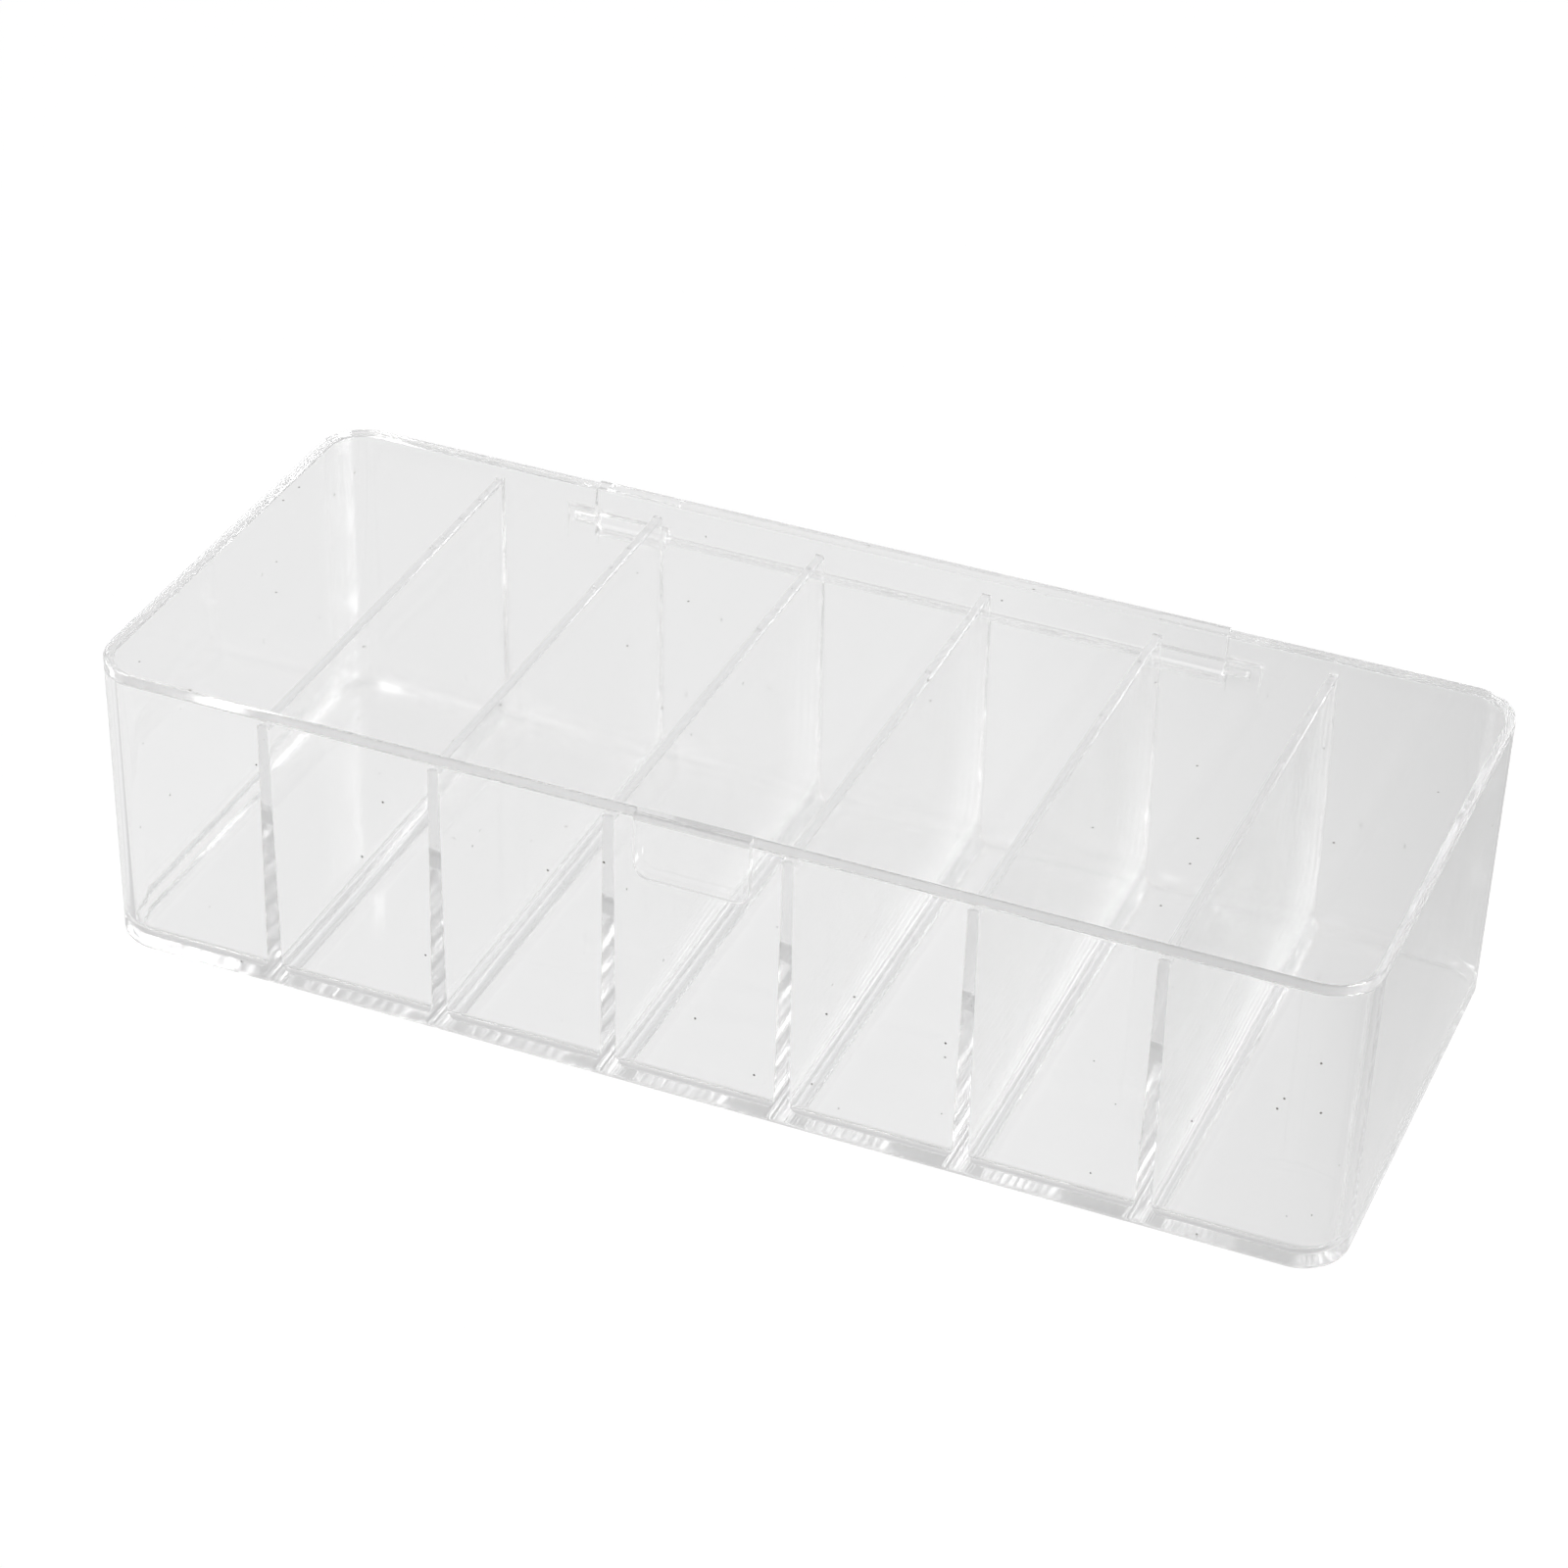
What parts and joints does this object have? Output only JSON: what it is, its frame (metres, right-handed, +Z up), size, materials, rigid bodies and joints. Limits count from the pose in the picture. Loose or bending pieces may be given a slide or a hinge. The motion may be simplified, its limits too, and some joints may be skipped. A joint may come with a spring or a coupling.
{
  "type": "compartment box",
  "caption": "Clear rectangular storage box with a row of equal moulded compartments and a flat rear-hinged lid with a front finger tab.",
  "frame": {"origin": "centre of the tray's flat underside", "axes": "+X along the row of compartments to the right as seen from the front, +Y from the front with the finger tab to the hinge, +Z up"},
  "size_m": [0.265, 0.1146, 0.0676],
  "materials": {
    "clear_tray": "clear injection-moulded polystyrene, polished",
    "clear_lid": "clear injection-moulded polystyrene, polished"
  },
  "bodies": {
    "tray": {"base_tray": "clear_tray"},
    "lid": {"hinged_lid": "clear_lid"}
  },
  "joints": [
    {"name": "lid_hinge", "type": "hinge", "parent": "tray", "child": "lid", "pos_m": [0, 0.0548, 0.0572], "axis": [-1, 0, 0], "range_deg": [0, 115]}
  ]
}
